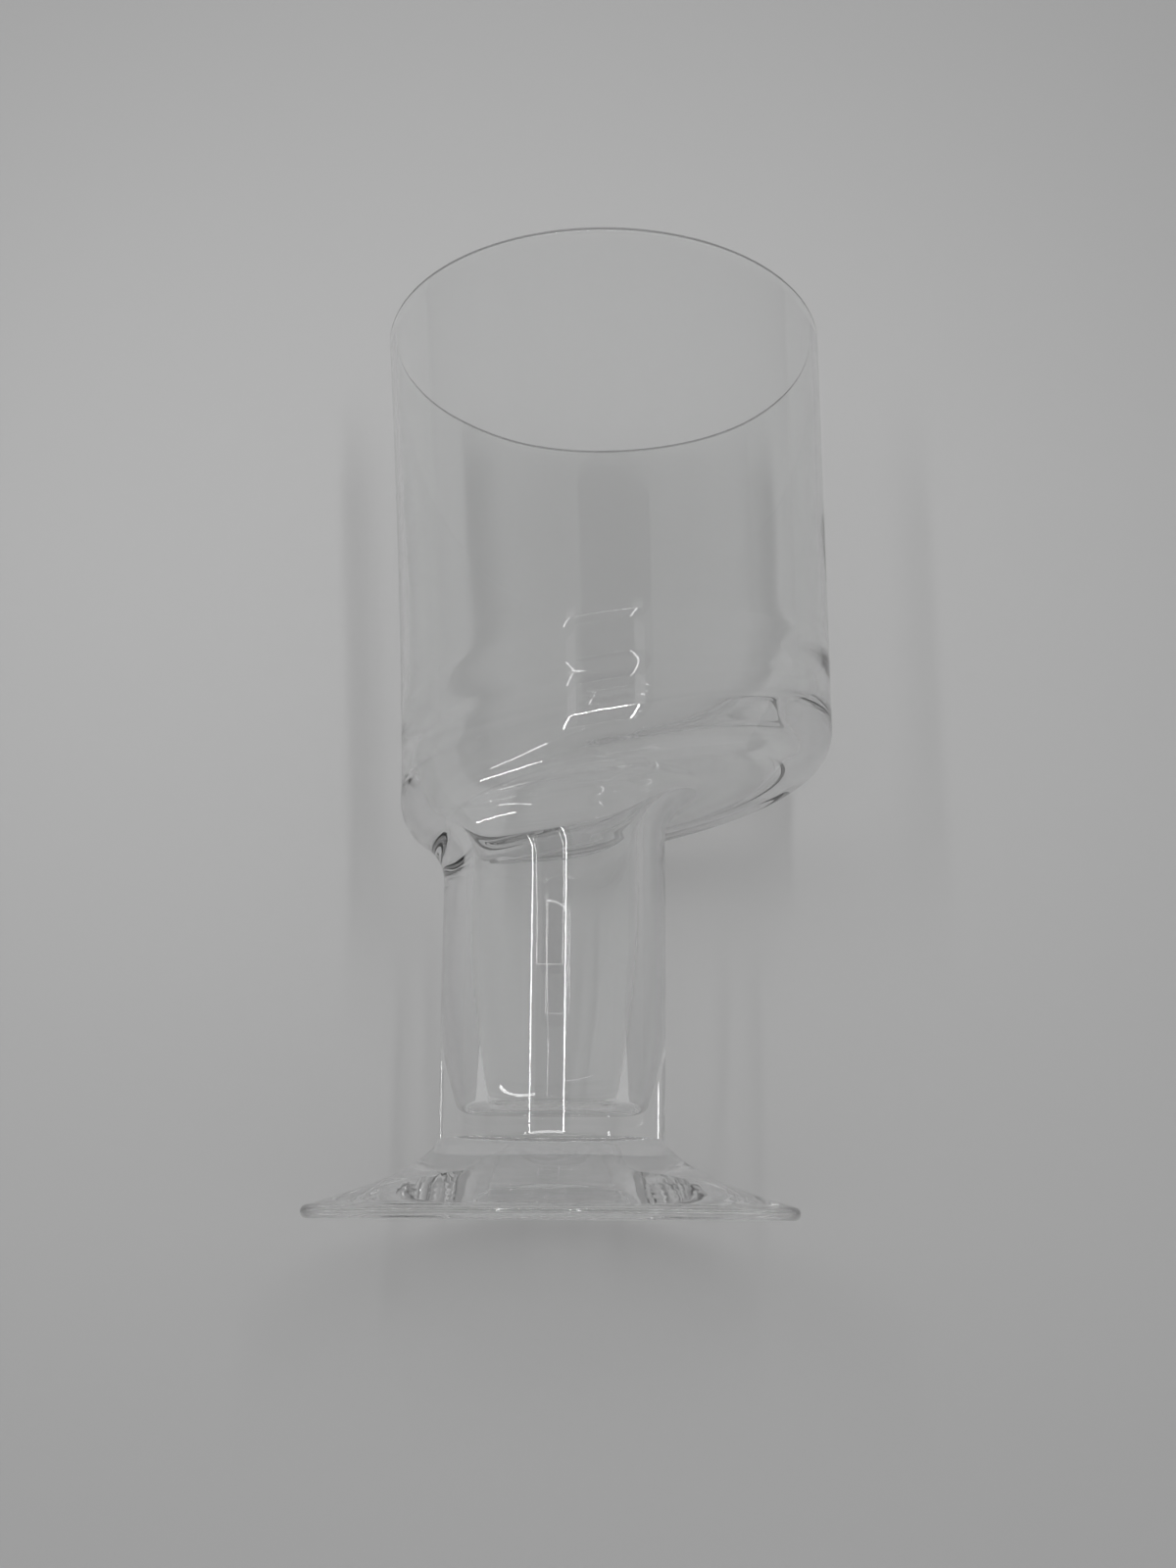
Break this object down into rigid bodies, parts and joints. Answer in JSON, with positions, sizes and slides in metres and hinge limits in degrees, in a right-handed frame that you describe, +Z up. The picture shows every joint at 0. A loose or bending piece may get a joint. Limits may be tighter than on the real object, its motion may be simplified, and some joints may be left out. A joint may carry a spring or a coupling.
{
  "type": "water glass",
  "caption": "Clear stemmed water glass: a straight-sided bowl set off centre on a thick hollow stem, with a sloping bowl floor that opens into the stem, and a round flared foot.",
  "frame": {"origin": "centre of the foot's flat underside, on the axis of the stem", "axes": "+Z up along the stem's axis; +X to the side where the bowl overhangs the stem; the XZ plane is the glass's mirror plane"},
  "size_m": [0.0897, 0.0816, 0.16],
  "materials": {
    "clear_glass": "clear, colourless, fire-polished"
  },
  "bodies": {
    "root": {"foot": "clear_glass", "stem": "clear_glass", "bowl": "clear_glass"}
  },
  "joints": []
}
